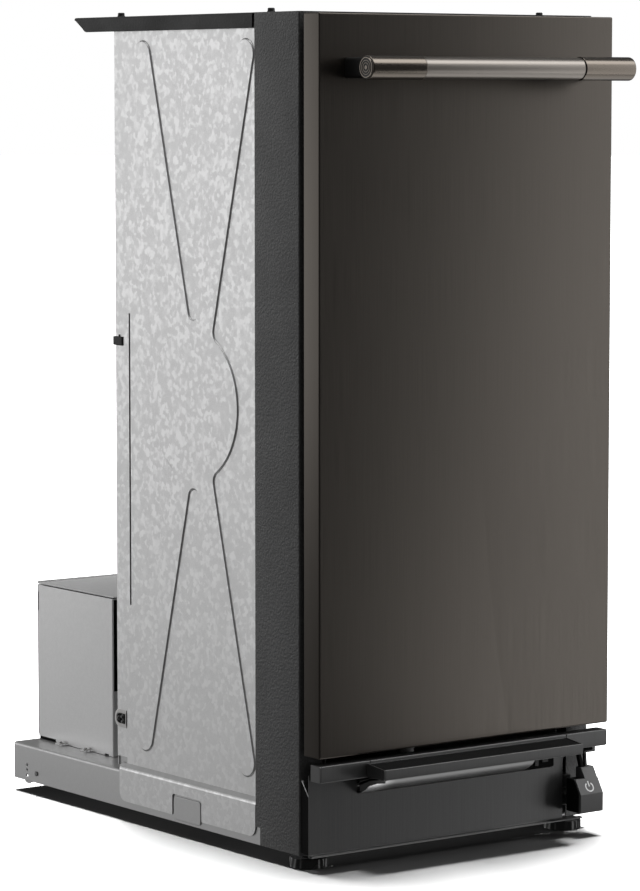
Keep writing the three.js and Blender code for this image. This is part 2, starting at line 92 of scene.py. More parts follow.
def rounded(corners, steps=4):
    """A closed outline from (u, v, radius) corners, with an arc at each corner that has a radius."""
    points = []
    for i, corner in enumerate(corners):
        here = Vector(corner[:2])
        radius = corner[2] if len(corner) > 2 else 0
        if not radius:
            points.append(tuple(here))
            continue
        before = (Vector(corners[i - 1][:2]) - here).normalized()
        after = (Vector(corners[(i + 1) % len(corners)][:2]) - here).normalized()
        half = before.angle(after) / 2
        centre = here + (before + after).normalized() * radius / math.sin(half)
        start = here + before * radius / math.tan(half) - centre
        end = here + after * radius / math.tan(half) - centre
        sweep = math.atan2(start.x * end.y - start.y * end.x, start.dot(end))
        for k in range(steps + 1):
            turn = Matrix.Rotation(sweep * k / steps, 2)
            points.append(tuple(centre + turn @ start))
    return points


def rectangle(u0, u1, v0, v1, radius=0.0, steps=4):
    return rounded([(u, v, radius) for u, v in ((u0, v0), (u1, v0), (u1, v1), (u0, v1))], steps)


def polar(u, v, radius, angle):
    return u + radius * math.cos(angle), v + radius * math.sin(angle)


def circle(u, v, radius, count=20):
    return [polar(u, v, radius, 2 * math.pi * k / count) for k in range(count)]


def arc(centre, radius, first, last, count):
    return [polar(*centre, radius, first + (last - first) * k / count) for k in range(count + 1)]


def band(bm, low, high):
    """The faces between two rings of vertices."""
    for i in range(len(low)):
        j = (i + 1) % len(low)
        bm.faces.new((low[i], low[j], high[j], high[i]))


def loft(bm, rings, loop=False):
    """Joins rings of points into one skin, closed by a cap at each end or, for a loop, on itself."""
    made = [[bm.verts.new(p) for p in ring] for ring in rings]
    pairs = list(zip(made, made[1:])) + ([(made[-1], made[0])] if loop else [])
    for low, high in pairs:
        band(bm, low, high)
    if not loop:
        bm.faces.new(made[0])
        bm.faces.new(made[-1])


def skin(bm, axis, rings):
    """A closed solid from (outline, level) pairs."""
    place = PLACES[axis]
    loft(bm, [[place(u, v, w) for u, v in outline] for outline, w in rings])


def fill_flat(bm, loops):
    """Triangles between an outer loop and its holes, each a list of (vertex, (u, v)) pairs."""
    corners = [pair for loop in loops for pair in loop]
    edges = []
    for loop in loops:
        base = len(edges)
        edges += [(base + i, base + (i + 1) % len(loop)) for i in range(len(loop))]
    flats = [Vector(uv) for _, uv in corners]
    made, _, faces, source, _, _ = delaunay_2d_cdt(flats, edges, [], 0, 1e-7)
    for face in faces:
        centre = sum((made[i] for i in face), Vector((0, 0))) / len(face)
        crossings = 0
        for p, q in ((flats[i], flats[j]) for i, j in edges):
            if (p.y > centre.y) != (q.y > centre.y):
                crossings += centre.x < p.x + (centre.y - p.y) * (q.x - p.x) / (q.y - p.y)
        if crossings % 2:
            bm.faces.new([corners[source[i][0]][0] for i in face])


def rims(bm, axis, outlines, low, high):
    """Walls from low to high along the outlines, and at each of the two levels the loops to fill."""
    loops = {low: [], high: []}
    for outline in outlines:
        made = {w: [bm.verts.new(PLACES[axis](u, v, w)) for u, v in outline] for w in loops}
        band(bm, made[low], made[high])
        for w in loops:
            loops[w].append(list(zip(made[w], outline)))
    return loops


def plate(bm, axis, outline, low, high, holes=()):
    """A flat plate along an axis from low to high, with holes through it."""
    if not holes:
        skin(bm, axis, [(outline, low), (outline, high)])
        return
    for loops in rims(bm, axis, (outline, *holes), low, high).values():
        fill_flat(bm, loops)


def block(bm, x, d, z):
    plate(bm, "z", rectangle(*x, *d), *z)


def turned(bm, axis, centre, profile, count=32, loop=False):
    """A solid turned about an axis through centre, from (radius, level) pairs."""
    cu, cv = {"x": centre[1:], "d": centre[::2], "z": centre[:2]}[axis]
    place = PLACES[axis]
    rings = [[place(u, v, w) for u, v in circle(cu, cv, max(r, 0.01), count)] for r, w in profile]
    loft(bm, rings, loop=loop)


def add_object(name, data):
    obj = bpy.data.objects.new(name, data)
    scene.collection.objects.link(obj)
    return obj


def finished_mesh(name, bm):
    bmesh.ops.recalc_face_normals(bm, faces=bm.faces)
    mesh = bpy.data.meshes.new(name)
    bm.to_mesh(mesh)
    bm.free()
    return mesh


def carve(bm, cutter):
    """What is left of bm when the cutter's solids are taken away."""
    body, tool = [add_object("work", finished_mesh("work", source)) for source in (bm, cutter)]
    difference = body.modifiers.new("cut", "BOOLEAN")
    difference.operation = "DIFFERENCE"
    difference.solver = "EXACT"
    difference.object = tool
    view = bpy.context.evaluated_depsgraph_get()
    left = bmesh.new()
    left.from_mesh(body.evaluated_get(view).data)
    for obj in (body, tool):
        mesh = obj.data
        bpy.data.objects.remove(obj)
        bpy.data.meshes.remove(mesh)
    return left


def solid(shape, *settings):
    """A new mesh with one shape in it."""
    bm = bmesh.new()
    shape(bm, *settings)
    return bm


def across(side, near, far):
    """A block's span in x, from its distances to the middle."""
    return sorted((side * near, side * far))


def piece(name, bm, body, slot, stands_for=(), bevel=0.0, segments=2, sharp=35, look=None):
    """One finished object from bm, riding on a body, with softened edges and its slot's material."""
    mesh = finished_mesh(name, bm)
    mesh.shade_smooth()
    mesh.set_sharp_from_angle(angle=math.radians(sharp))
    mesh.materials.append(look or LOOKS[slot])
    obj = add_object(name, mesh)
    if bevel:
        edge = obj.modifiers.new("edges", "BEVEL")
        edge.width = bevel * MM
        edge.segments = segments
        edge.limit_method = "ANGLE"
        edge.angle_limit = math.radians(sharp)
        edge.use_clamp_overlap = False
        edge.harden_normals = True
        edge.miter_outer = "MITER_ARC"
    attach(obj, body)
    if stands_for:
        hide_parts(*stands_for)
    return obj


def recast(cad_name, slot, bevel):
    """A CAD node's own shape, with whole flat faces, softened edges and its slot's material."""
    source = frame["nodes"][cad_name]
    bm = bmesh.new()
    bm.from_mesh(source.data)
    bmesh.ops.remove_doubles(bm, verts=bm.verts, dist=1e-6)
    bmesh.ops.dissolve_limit(bm, angle_limit=math.radians(1), verts=bm.verts, edges=bm.edges)
    return piece(f"{cad_name}_finish", bm, source["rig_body"], slot, (cad_name,), bevel)


# ---------------------------------------------------------------- materials

def node(tree, kind, inputs=None, **settings):
    made = tree.nodes.new(kind)
    for key, value in settings.items():
        setattr(made, key, value)
    for key, value in (inputs or {}).items():
        if isinstance(value, bpy.types.NodeSocket):
            tree.links.new(value, made.inputs[key])
        else:
            made.inputs[key].default_value = value
    return made


def grey(value, warmth=0.0):
    return (value * (1 + warmth), value, value * (1 - warmth), 1)


def shader_input(tree, key):
    return tree.nodes["Principled BSDF"].inputs[key.replace("_", " ").title().replace("Ior", "IOR")]


def start(name, **shader):
    """A new material, its tree, and the object's own coordinates."""
    material = bpy.data.materials.new(name)
    material.use_nodes = True
    tree = material.node_tree
    for key, value in shader.items():
        shader_input(tree, key).default_value = value
    return material, tree, node(tree, "ShaderNodeTexCoord").outputs["Object"]


def stretched(tree, place, scale):
    return node(tree, "ShaderNodeMapping", {"Vector": place, "Scale": scale}).outputs[0]


def noise(tree, place, scale, detail=2.0, rough=0.5):
    return node(tree, "ShaderNodeTexNoise", {
        "Vector": place, "Scale": scale, "Detail": detail, "Roughness": rough,
    }).outputs["Fac"]


def spread(tree, value, low, high, to_low=0.0, to_high=1.0):
    """Maps a value between low and high smoothly onto to_low to to_high."""
    return node(tree, "ShaderNodeMapRange", {
        "Value": value, "From Min": low, "From Max": high, "To Min": to_low, "To Max": to_high,
    }, interpolation_type="SMOOTHSTEP").outputs[0]


def blend_colours(tree, factor, a, b):
    # of the mix node's sockets, inputs 6 and 7 and output 2 are the colours
    return node(tree, "ShaderNodeMix", {0: factor, 6: a, 7: b}, data_type="RGBA").outputs[2]


def connect(tree, **sockets):
    """Links sockets to the shader's inputs."""
    for key, socket in sockets.items():
        tree.links.new(socket, shader_input(tree, key))


def bump(tree, height, distance, strength=1.0):
    made = node(tree, "ShaderNodeBump", {"Height": height, "Distance": distance, "Strength": strength})
    connect(tree, normal=made.outputs[0])


def worn(tree, colour, lighter, amount=0.6):
    """Edges rubbed a little lighter, from the surface's own curvature."""
    pointed = node(tree, "ShaderNodeNewGeometry").outputs["Pointiness"]
    rub = spread(tree, pointed, 0.52, 0.6, 0.0, amount)
    return blend_colours(tree, rub, colour, lighter)


def galvanised(name, dark, light, spangle=1.0, cell=0.0048, metallic=0.8):
    """Hot-dip zinc: soft pale crystal blotches in a mid grey."""
    material, tree, place = start(name, metallic=metallic)
    drift = node(tree, "ShaderNodeTexNoise", {"Vector": place, "Scale": 0.9 / cell, "Detail": 3.0})
    bent = node(tree, "ShaderNodeVectorMath", {
        0: drift.outputs["Color"], 1: (cell * 1.8,) * 3}, operation="MULTIPLY").outputs[0]
    bent = node(tree, "ShaderNodeVectorMath", {0: place, 1: bent}, operation="ADD").outputs[0]
    cells = node(tree, "ShaderNodeTexVoronoi", {
        "Vector": bent, "Scale": 1 / cell, "Smoothness": 0.8}, feature="SMOOTH_F1")
    shade = node(tree, "ShaderNodeSeparateColor", {"Color": cells.outputs["Color"]}).outputs["Red"]
    fine = noise(tree, place, 1 / 0.0014, 3.0)
    cloud = noise(tree, place, 0.55 / cell, 3.0, 0.6)
    large = noise(tree, place, 1 / 0.12)
    flake = spread(tree, shade, 0.32, 0.84, 0.0, spangle)
    colour = blend_colours(tree, flake, dark, light)
    for value, low, high, share, tint in (
            (cloud, 0.35, 0.7, 0.25, light), (fine, 0.3, 0.75, 0.4, light), (large, 0.35, 0.7, 0.2, dark)):
        colour = blend_colours(tree, spread(tree, value, low, high, 0.0, share), colour, tint)
    connect(tree, base_color=colour, roughness=spread(tree, shade, 0.2, 0.8, 0.38, 0.30))
    bump(tree, fine, 0.000012, 0.5)
    return material


def painted(name, base, fleck, grain, depth, roughness, specular=0.5):
    """A paint or plastic with a fine moulded or orange-peel grain."""
    material, tree, place = start(name, specular_ior_level=specular)
    peel = noise(tree, place, 1 / grain, 3.0, 0.55)
    patch = noise(tree, place, 1 / 0.05)
    colour = worn(tree, blend_colours(tree, spread(tree, peel, 0.35, 0.7), base, fleck), fleck)
    connect(tree, base_color=colour, roughness=spread(tree, patch, 0.3, 0.7, *roughness))
    bump(tree, peel, depth)
    return material


def brushed(name, base, light, roughness, along="z", depth=0.000004, metallic=1.0):
    """Metal with fine scratches along one axis."""
    material, tree, place = start(name, metallic=metallic, anisotropic=0.5)
    long, fine, wide = 1 / 0.09, 1 / 0.0004, 1 / 0.004
    scratch = stretched(tree, place, tuple(long if a == along else fine for a in "xyz"))
    streak = stretched(tree, place, tuple(long / 8 if a == along else wide for a in "xyz"))
    lines = noise(tree, scratch, 1.0, 2.0, 0.6)
    bands = noise(tree, streak, 1.0)
    colour = blend_colours(tree, spread(tree, lines, 0.3, 0.7), base, light)
    colour = blend_colours(tree, spread(tree, bands, 0.3, 0.7, 0.0, 0.25), colour, light)
    connect(tree, base_color=colour, roughness=spread(tree, lines, 0.25, 0.75, *roughness))
    tangent = node(tree, "ShaderNodeTangent", direction_type="RADIAL", axis="Z" if along == "z" else "X")
    connect(tree, tangent=tangent.outputs[0])
    bump(tree, lines, depth)
    return material


def machined(name, base, light, roughness):
    """Plated or oiled steel with a faint mottle."""
    material, tree, place = start(name, metallic=0.9)
    mottle = noise(tree, place, 1 / 0.0012, 4.0, 0.6)
    cloud = noise(tree, place, 1 / 0.03, 3.0)
    colour = worn(tree, blend_colours(tree, spread(tree, cloud, 0.3, 0.7), base, light), light, 0.8)
    connect(tree, base_color=colour, roughness=spread(tree, mottle, 0.3, 0.7, *roughness))
    bump(tree, mottle, 0.000015, 0.6)
    return material


GALV = 0.70  # how light the zinc is
# Each slot's kind of look, and its values
LOOKS = {
    "galvanised_steel": (galvanised, grey(GALV), grey(GALV * 1.22)),
    "textured_black": (painted, grey(0.066), grey(0.105), 0.0024, 0.00060, (0.32, 0.40)),
    "drawer_steel": (brushed, grey(0.094, 0.11), grey(0.110, 0.11), (0.30, 0.40)),
    "handle_metal": (brushed, grey(0.20, 0.09), grey(0.22, 0.09), (0.27, 0.31), "x", 0.0000006),
    "zinc_plated": (machined, grey(0.50, 0.02), grey(0.62, 0.01), (0.28, 0.42)),
    "charcoal_paint": (brushed, grey(0.110), grey(0.140), (0.34, 0.44), "z", 0.000004, 0.7),
    "pedal_plastic": (painted, grey(0.022), grey(0.034), 0.0009, 0.00008, (0.42, 0.5)),
    "black_plastic": (painted, grey(0.014), grey(0.022), 0.0007, 0.00005, (0.35, 0.45)),
    "grey_plastic": (painted, grey(0.10), grey(0.125), 0.0010, 0.00008, (0.45, 0.55)),
    "dark_steel": (machined, grey(0.16), grey(0.26), (0.32, 0.46)),
    "rubber": (painted, grey(0.012), grey(0.020), 0.0006, 0.00006, (0.5, 0.6)),
    "motor_paint": (painted, grey(0.020), grey(0.030), 0.0014, 0.00010, (0.38, 0.48)),
}
LOOKS = {slot: make(slot, *values) for slot, (make, *values) in LOOKS.items()}
PAN_ZINC = galvanised("pan_zinc", grey(GALV * 0.78), grey(GALV * 0.84), 0.15, 0.003)
# painted shade: a darker copy of the zinc, for the side panels' downward foot slope
PAINTED_SHADE_ZINC = galvanised("painted_shade_zinc", grey(GALV * 0.52), grey(GALV * 0.58), 0.3)
LID_ZINC = galvanised("lid_zinc", grey(GALV * 0.98), grey(GALV * 1.08), 0.15, 0.003, metallic=0.3)
PLAIN_ZINC = galvanised("plain_zinc", grey(GALV * 1.02), grey(GALV * 1.12), 0.15, 0.003)


def painted_highlight_end():
    """Zinc with a painted highlight: its left end is painted near white, and it is dull along the rest."""
    material, tree, place = start("painted_highlight_end", metallic=0.8)
    along = node(tree, "ShaderNodeSeparateXYZ", {"Vector": place}).outputs["X"]
    cloud = noise(tree, place, 1 / 0.02, 3.0)
    dull = blend_colours(tree, spread(tree, cloud, 0.3, 0.7), grey(0.24), grey(0.26))
    highlight_to, dull_from = -0.122, -0.090
    # painted highlight: a near-white base colour over the apron's left end
    colour = blend_colours(tree, spread(tree, along, highlight_to, dull_from), grey(0.9), dull)
    connect(tree, base_color=colour, roughness=spread(tree, cloud, 0.3, 0.7, 0.36, 0.40))
    return material


PAINTED_HIGHLIGHT_END = painted_highlight_end()
WHITE_PRINT = painted("white_print", grey(0.95), grey(0.98), 0.0008, 0.00001, (0.45, 0.5))
SLEEVE = brushed("sleeve", grey(0.115, 0.14), grey(0.13, 0.14), (0.17, 0.20), along="x", depth=0.0000004)
# painted shade: a darker copy of the trims' textured black, for the top cover near the light; the side clip
# shares it
COVER_BLACK_PAINTED_SHADE = painted("cover_black_painted_shade", grey(0.010), grey(0.018), 0.0024, 0.00030, (0.5, 0.6))
FOOT_GLOSS = painted("foot_gloss", grey(0.014), grey(0.022), 0.0006, 0.00002, (0.25, 0.3))
KEY = painted("key_plastic", grey(0.13), grey(0.14), 0.0005, 0.00002, (0.5, 0.6))
# near black: the pedal's tread, and blocks that stand in for shade as painted shade
BLACK_TREAD_AND_SHADE = painted("tread", grey(0.004), grey(0.008), 0.0006, 0.00004, (0.75, 0.85), specular=0.15)


# ---------------------------------------------------------------- cabinet

# The pressed stiffener of a side panel, from its centre: two crossed arms and a round hub
STIFFENER = {"d": 221.4, "z": 457.0, "reach": (93.0, 360.0), "arm": 16.0, "hub": 80.0}
HUB_FILLET = 10.0
CROTCH_FILLET = 8.2
# The pressed wall, as (distance in from its foot, height)
PRESSED_WALL = [(0.0, 0.0), (0.3, 0.08), (0.62, 0.31), (1.0, 0.75), (1.38, 1.19), (1.7, 1.43), (2.0, 1.5)]


def stiffener_outline(inset):
    """The stiffener's outline moved inwards by inset, about its own centre."""
    arm = STIFFENER["arm"] - inset
    hub = STIFFENER["hub"] - inset
    tip = Vector(STIFFENER["reach"])
    along = tip.normalized()
    right = Vector((along.y, -along.x))
    lean = math.atan2(right.y, right.x)
    fillet = HUB_FILLET + inset
    out = arm + fillet
    centre = right * out + along * math.sqrt((hub + fillet) ** 2 - out ** 2)
    meet = math.atan2(centre.y, centre.x)
    crotch = CROTCH_FILLET + inset
    top = (arm + crotch) / along.x
    quarter = arc((0, 0), hub, 0.0, meet, 20)
    quarter += arc(centre, fillet, meet + math.pi, lean + math.pi, 8)
    quarter += arc(tip, arm, lean, lean + math.pi, 18)
    quarter += arc((0, top), crotch, lean, -math.pi / 2, 8)
    left = [(-u, v) for u, v in reversed(quarter)]
    upper = (quarter + left[1:])[:-1]
    return upper + [(-u, -v) for u, v in upper]


def side_panel(side):
    """A sheet with a raised stiffener, a slit, a lowered rear corner, a flared foot and an apron."""
    name = SIDES[side]
    out, inner, skirt = side * PANEL, side * (PANEL - SHEET), side * (HALF - SHEET)
    front, step, apron_rear = 41.0, 350.0, 361.0
    flare, lap = DECK + 8.4, DECK + 15.0
    bm = bmesh.new()
    # the wall of the stiffener, and its flat top
    press = [[(STIFFENER["d"] + u, STIFFENER["z"] + v) for u, v in stiffener_outline(inset)]
             for inset, _ in PRESSED_WALL]
    made = [[bm.verts.new(at(out + side * rise, d, z)) for d, z in ring]
            for ring, (_, rise) in zip(press, PRESSED_WALL)]
    for low, high in zip(made, made[1:]):
        band(bm, low, high)
    fill_flat(bm, [list(zip(made[-1], press[-1]))])
    # the sheet round it
    sheet = [(front, flare), (step, flare), (step, lap), (REAR, lap), (REAR, TOP - 2), (front, TOP - 2)]
    loops = rims(bm, "x", (sheet, rectangle(340.7, 343.5, 235.0, 546.0)), out, inner)
    fill_flat(bm, loops[out] + [list(zip(made[0], press[0]))])
    fill_flat(bm, loops[inner])
    # the lowered corner, the rear flange, the apron with its window, the foot's crest and its slope
    corner = solid(block, across(side, 183.2, 184.2), (step - 6, REAR - 0.6), (DECK + 0.3, lap + 3))
    piece(f"side_panel_{name}_corner", corner, "cabinet", "galvanised_steel", bevel=0.2, look=PAN_ZINC)
    block(bm, across(side, 165, 185.5), (REAR - SHEET, REAR - 0.05), (DECK + 5, TOP - 2))
    apron = rounded([(110.0, DECK + 1.2), (apron_rear, DECK + 1.2), (apron_rear, 22.0, 10.0),
                     (260.5, 22.0, 1.5), (260.5, 44.5, 3.5), (206.5, 44.5, 3.5), (206.5, 22.0, 1.5),
                     (110.0, 22.0, 10.0)])
    plate(bm, "x", apron, skirt, side * HALF)
    crest = [(side * 187.6, DECK + 3.4), (side * 188.1, DECK + 4.1), (side * 188.7, DECK + 3.0),
             (side * HALF, DECK + 1.2), (skirt, DECK + 1.2)]
    plate(bm, "d", crest, front, apron_rear)
    slope = [(inner, flare + 0.3), (out, flare + 0.3), (side * 188.1, DECK + 3.9), (side * 187.2, DECK + 3.9),
             (inner, DECK + 7.0)]
    # the slope takes the darker zinc: painted shade
    piece(f"side_panel_{name}_foot", solid(plate, "d", slope, front, apron_rear), "cabinet",
          "galvanised_steel", look=PAINTED_SHADE_ZINC)
    return piece(f"side_panel_{name}_pressed", bm, "cabinet", "galvanised_steel",
                 (f"side_panel_{name}",), sharp=9)


# A screw's washer and head, as (radius over the screw's size, height)
WASHER = (1.15, -0.2), (1.15, 0.5), (0.9, 0.9)
HEX_HEAD = (0.72, 0.5), (0.72, 2.4), (0.6, 2.7)


def hex_screws(name, body, spots, size=4.2, slot="zinc_plated"):
    """Washer-headed hexagon screws, each from ((x, d, z), axis, the way its head points)."""
    bm = bmesh.new()
    for centre, axis, way in spots:
        level = centre["xdz".index(axis)]
        for profile, count in ((WASHER, 20), (HEX_HEAD, 6)):
            turned(bm, axis, centre, [(size * r, level + way * h) for r, h in profile], count)
    return piece(name, bm, body, slot, bevel=0.12)


def top_cover():
    """A sheet with a flange down each side, which slants up at the rear tip."""
    bend, foot = 2.4, 842.5
    corner = HALF - bend

    def over(half, radius, low):
        """The line up one flange, over the top and down the other."""
        return ([(-half, low)] + arc((-corner, TOP - bend), radius, math.pi, math.pi / 2, 4)
                + arc((corner, TOP - bend), radius, math.pi / 2, 0.0, 4) + [(half, low)])

    def section(d, low):
        outline = over(HALF, bend, low) + over(HALF - SHEET, bend - SHEET, low)[::-1]
        return [at(x, d, z) for x, z in outline]

    tip = [(113.3, foot), (418.5, foot), (421.0, foot + 0.5), (423.4, foot + 1.9), (425.5, foot + 3.6),
           (438.6, 854.4), (440.3, 855.1), (441.4, 855.5)]
    bm = solid(loft, [section(d, z) for d, z in tip])
    block(bm, (-187.4, 187.4), (35.4, 113.5), (TOP - 1.5, TOP))
    # the cover takes the darker black: painted shade
    return piece("top_cover_folded", bm, "cabinet", "textured_black", ("top_cover",), bevel=0.25,
                 look=COVER_BLACK_PAINTED_SHADE)


def front_trim(side):
    """An angle down the cabinet's front edge, with a notch at its foot."""
    name = SIDES[side]
    out, face, lip = side * HALF, side * (HALF - 1.3), side * 160.0
    section = rounded([(out, 109.3), (face, 109.3), (face, 34.9, 0.4), (lip, 34.9), (lip, 33.4),
                       (out, 33.4, 1.6)])
    bm = solid(plate, "z", section, 15.0, TOP)
    notch = solid(block, across(side, HALF - 8, HALF + 4), (101.5, 130.0), (0.0, 33.0))
    return piece(f"front_trim_{name}_folded", carve(bm, notch), "cabinet", "textured_black",
                 (f"front_trim_{name}",), bevel=0.25)


def frame_outline(half, front, rear, radius):
    return rectangle(-half, half, front, rear, radius, 6)


def base_pan():
    """A shallow pan, open below, with rounded top edges, lobed flanges and the pressed tabs at its sides."""
    half, front, rear, foot, thick = 187.4, 40.0, 582.0, 14.5, 1.5

    def ring(inset, z):
        return frame_outline(half - inset, front + inset, rear - inset, 6.0 - inset), z

    bm = solid(skin, "z", [ring(thick, DECK - thick), ring(thick, foot), ring(0.0, foot),
                           ring(0.0, DECK - 3.0), ring(0.24, DECK - 1.5), ring(0.6, DECK - 0.7),
                           ring(1.1, DECK - 0.2), ring(1.8, DECK)])
    cutter = bmesh.new()
    pinion_d = 488.35
    for x, d, radius in ((-SCREW_X, SCREW_D, 12), (SCREW_X, SCREW_D, 12), (0, GEAR_D, 8), (0, pinion_d, 8)):
        plate(cutter, "z", circle(x, d, radius, 28), DECK - 5, DECK + 5)
    for side in SIDES:
        for d, z, radius in ((551.0, 32.4, 2.0), (551.0, 26.7, 1.7), (551.0, 20.4, 2.0)):
            plate(cutter, "x", circle(d, z, radius, 16), side * (half - 4), side * (half + 4))
    bm = carve(bm, cutter)
    for side in SIDES:
        lobe = arc((549, 22.4), 10.9, math.radians(228), math.radians(312), 12)
        plate(bm, "x", lobe, side * (half - thick), side * half)
        tab = rectangle(208.6, 258.4, 17.5, 42.5, 4.0)
        skin(bm, "x", [(tab, side * (half - 0.2)), (tab, side * (half + 0.9)),
                       (rectangle(209.1, 257.9, 18.0, 42.0, 3.5), side * (half + 1.4))])
    skin(bm, "z", [(rectangle(-183.0, 183.0, 376.0, 424.0, 5.0), DECK - 0.2),
                   (rectangle(-181.6, 181.6, 377.4, 422.6, 4.0), DECK + 0.3)])
    pan = piece("base_pan_pressed", bm, "cabinet", "galvanised_steel", ("base_pan",), bevel=0.2,
                look=PAN_ZINC)
    even = pan.modifiers.new("flat faces", "WEIGHTED_NORMAL")
    even.keep_sharp = True
    return pan


def motor_cover():
    """A folded box with a lid, open towards the cabinet, with ventilation slots at the back."""
    half, front, rear, top = 153.0, 428.0, 581.0, 231.5
    lid = top - 1.3  # the underside of the lid

    def ring(inset, z):
        return frame_outline(half - inset, front + inset, rear - inset, 1.2), z

    bm = solid(skin, "z", [ring(SHEET, lid - 1.4), ring(SHEET, DECK + 0.4), ring(0.0, DECK + 0.4),
                           ring(0.0, lid - 1.1), ring(0.8, lid - 1.1)])
    cutter = solid(block, (-151.4, 151.4), (front - 5, front + 5), (127, 228))
    for side in SIDES:
        block(cutter, across(side, half - 22, half + 5), (545, rear + 5), (50, 57.9))
        block(cutter, across(side, half - 3, half + 3), (437, 445), (50, 56.6))
        for row in range(7):
            z = 100 + row * 15
            slot = rectangle(side * 75 - 38, side * 75 + 38, z, z + 4.5, 2.0)
            plate(cutter, "d", slot, rear - 4, rear + 4)
    plate(cutter, "x", circle(556, 96, 9, 24), half - 5, half + 5)
    bm = carve(bm, cutter)
    cover_lid = solid(skin, "z", [ring(0.0, lid), ring(0.0, top - 0.5), ring(0.5, top)])
    piece("motor_cover_lid", cover_lid, "cabinet", "galvanised_steel", bevel=0.15, look=LID_ZINC)
    lip = solid(block, (-half, half), (rear - 2.2, rear), (top - 0.6, top + 1.7))
    piece("motor_cover_lip", lip, "cabinet", "galvanised_steel", bevel=0.2, look=PLAIN_ZINC)
    # near black: a baffle plate behind the ventilation slots, and blocks in the rear bottom notches and down
    # the rear corners as painted shade for the dark gaps there
    baffle_and_painted_shade = solid(block, (-120.0, 120.0), (rear - 9.0, rear - 8.0), (90.0, 205.0))
    for side in SIDES:
        for near, far, d, z in ((20.0, -1.0, (546.0, rear - 1.3), (DECK + 0.2, DECK + 3.2)),
                                (3.0, 0.05, (rear - 0.9, rear), (DECK + 6.0, lid - 0.8)),
                                (3.0, 0.1, (rear - 1.9, rear), (lid - 30.0, lid - 9.0))):
            block(baffle_and_painted_shade, across(side, half - near, half + far), d, z)
    piece("motor_cover_baffle", baffle_and_painted_shade, "cabinet", "black_plastic", look=BLACK_TREAD_AND_SHADE)
    for side in SIDES:
        for d in ((520, 538), (470, 486)):
            tab = rectangle(side * half - 7, side * half + 7, *d, 3.0)
            plate(bm, "z", tab, DECK + 0.1, DECK + 1.3)
    return piece("motor_cover_folded", bm, "cabinet", "galvanised_steel", ("motor_cover",), bevel=0.15,
                 look=PLAIN_ZINC)


def drawer_front():
    """One folded sheet: a flat face with rounded edges and a flange on all four sides."""
    bottom, top, deep = 117.7, 856.0, 25.2

    def ring(inset, d, radius):
        return rectangle(inset - HALF, HALF - inset, bottom + inset, top - inset, radius, 3), d

    rings = [ring(SHEET, SHEET, 0.4), ring(SHEET, deep, 0.4), ring(0.0, deep, 1.4), ring(0.0, 1.5, 1.4),
             ring(0.18, 0.75, 1.3), ring(0.7, 0.2, 1.0), ring(1.5, 0.0, 0.6)]
    bm = solid(skin, "d", rings)
    return piece("drawer_front_folded", bm, "drawer", "drawer_steel", ("drawer_front",), sharp=50)


def handle_end(side):
    """A sleeve with a ringed end face, on a post with rounded corners."""
    name = SIDES[side]
    (_, d, z), face = HANDLE, 169.3

    def turn(profile, loop=False):
        turned(bm, "x", HANDLE, [(r, side * x) for r, x in profile], 64, loop)

    bm = bmesh.new()
    turn([(11.2, 102.0), (11.8, 102.1), (12.0, 102.5), (12.0, 102.8), (12.0, 104.0), (12.0, face - 3.0),
          (12.0, face - 1.6), (11.9, face - 1.2), (11.5, face - 0.9), (11.0, face - 0.8)])
    piece(f"handle_end_{name}_sleeve", bm, "drawer", "handle_metal", (f"handle_end_{name}",), look=SLEEVE,
          sharp=50)
    tall = 10.3
    post = rectangle(*across(side, 109.0, 158.0), z - tall, z + tall, 3.0)
    bm = solid(plate, "d", post, -0.3, d + 3)
    turn([(11.3, face - 1.2), (11.3, face - 0.9), (10.6, face - 0.6), (9.0, face - 0.6)])
    piece(f"handle_end_{name}_post", bm, "drawer", "black_plastic", bevel=0.3)
    bm = bmesh.new()
    for outer, inner in ((10.3, 8.9), (7.4, 6.4), (4.9, 3.9), (2.2, 0.0)):
        turn([(outer, face - 0.7), (outer - 0.25, face - 0.1), (inner + 0.2, face - 0.1),
              (inner, face - 0.7)], loop=True)
    return piece(f"handle_end_{name}_rings", bm, "drawer", "handle_metal", look=SLEEVE)


def handle_bar():
    """The handle's middle, between its two ends."""
    profile = [(10.2, -101.6), (11.0, -101.2), (11.0, -100.0), (11.0, 100.0), (11.0, 101.2), (10.2, 101.6)]
    bm = solid(turned, "x", HANDLE, profile, 64)
    return piece("handle_bar_brushed", bm, "drawer", "handle_metal", ("handle_bar",), sharp=50)


def toe_panel():
    """A plate with a slot for the pedal's lever and a corner cut away for the start switch."""
    edge, face, back = 188.0, 18.5, 19.7
    outline = rounded([(-edge, 18), (143, 18), (143, 84, 5), (edge, 84), (edge, 99), (-edge, 99)])
    bm = solid(plate, "d", outline, face, back, [rectangle(-128, 130, 74, 93, 2)])
    lip = rounded([(14, 15.3, 1.4), (back, 15.3), (back, 18.4), (18.2, 18.4, 0.8), (18.0, 17.4, 0.5),
                   (14, 17.4, 0.8)])
    plate(bm, "x", lip, -edge, 144)
    plate(bm, "x", rounded([(14, 15.3, 0.8), (back, 15.3), (back, 17.3), (14, 17.3, 0.8)]), 144.2, 167)
    piece("toe_panel_folded", bm, "cabinet", "charcoal_paint", ("toe_panel",), bevel=0.25)
    # the side flanges are near black: painted shade
    flange = [(19.0, 18.2), (32.6, 18.2), (32.6, 92.5), (30.6, 92.5), (19.0, 77.5)]
    bm = solid(plate, "x", flange, 0.6 - edge, 1.8 - edge)
    block(bm, (edge - 1.8, edge - 0.6), (19.0, 32.6), (84.3, 92.5))
    piece("toe_panel_flanges_painted_shade", bm, "cabinet", "black_plastic", look=BLACK_TREAD_AND_SHADE)
    # a pale zinc strip along the flange's top corner: a painted highlight
    bm = solid(plate, "x", [(18.9, 76.6), (19.6, 76.6), (31.3, 92.0), (30.6, 92.6)], 0.1 - edge, 1.9 - edge)
    return piece("toe_panel_painted_highlight_edge", bm, "cabinet", "charcoal_paint", look=PLAIN_ZINC)


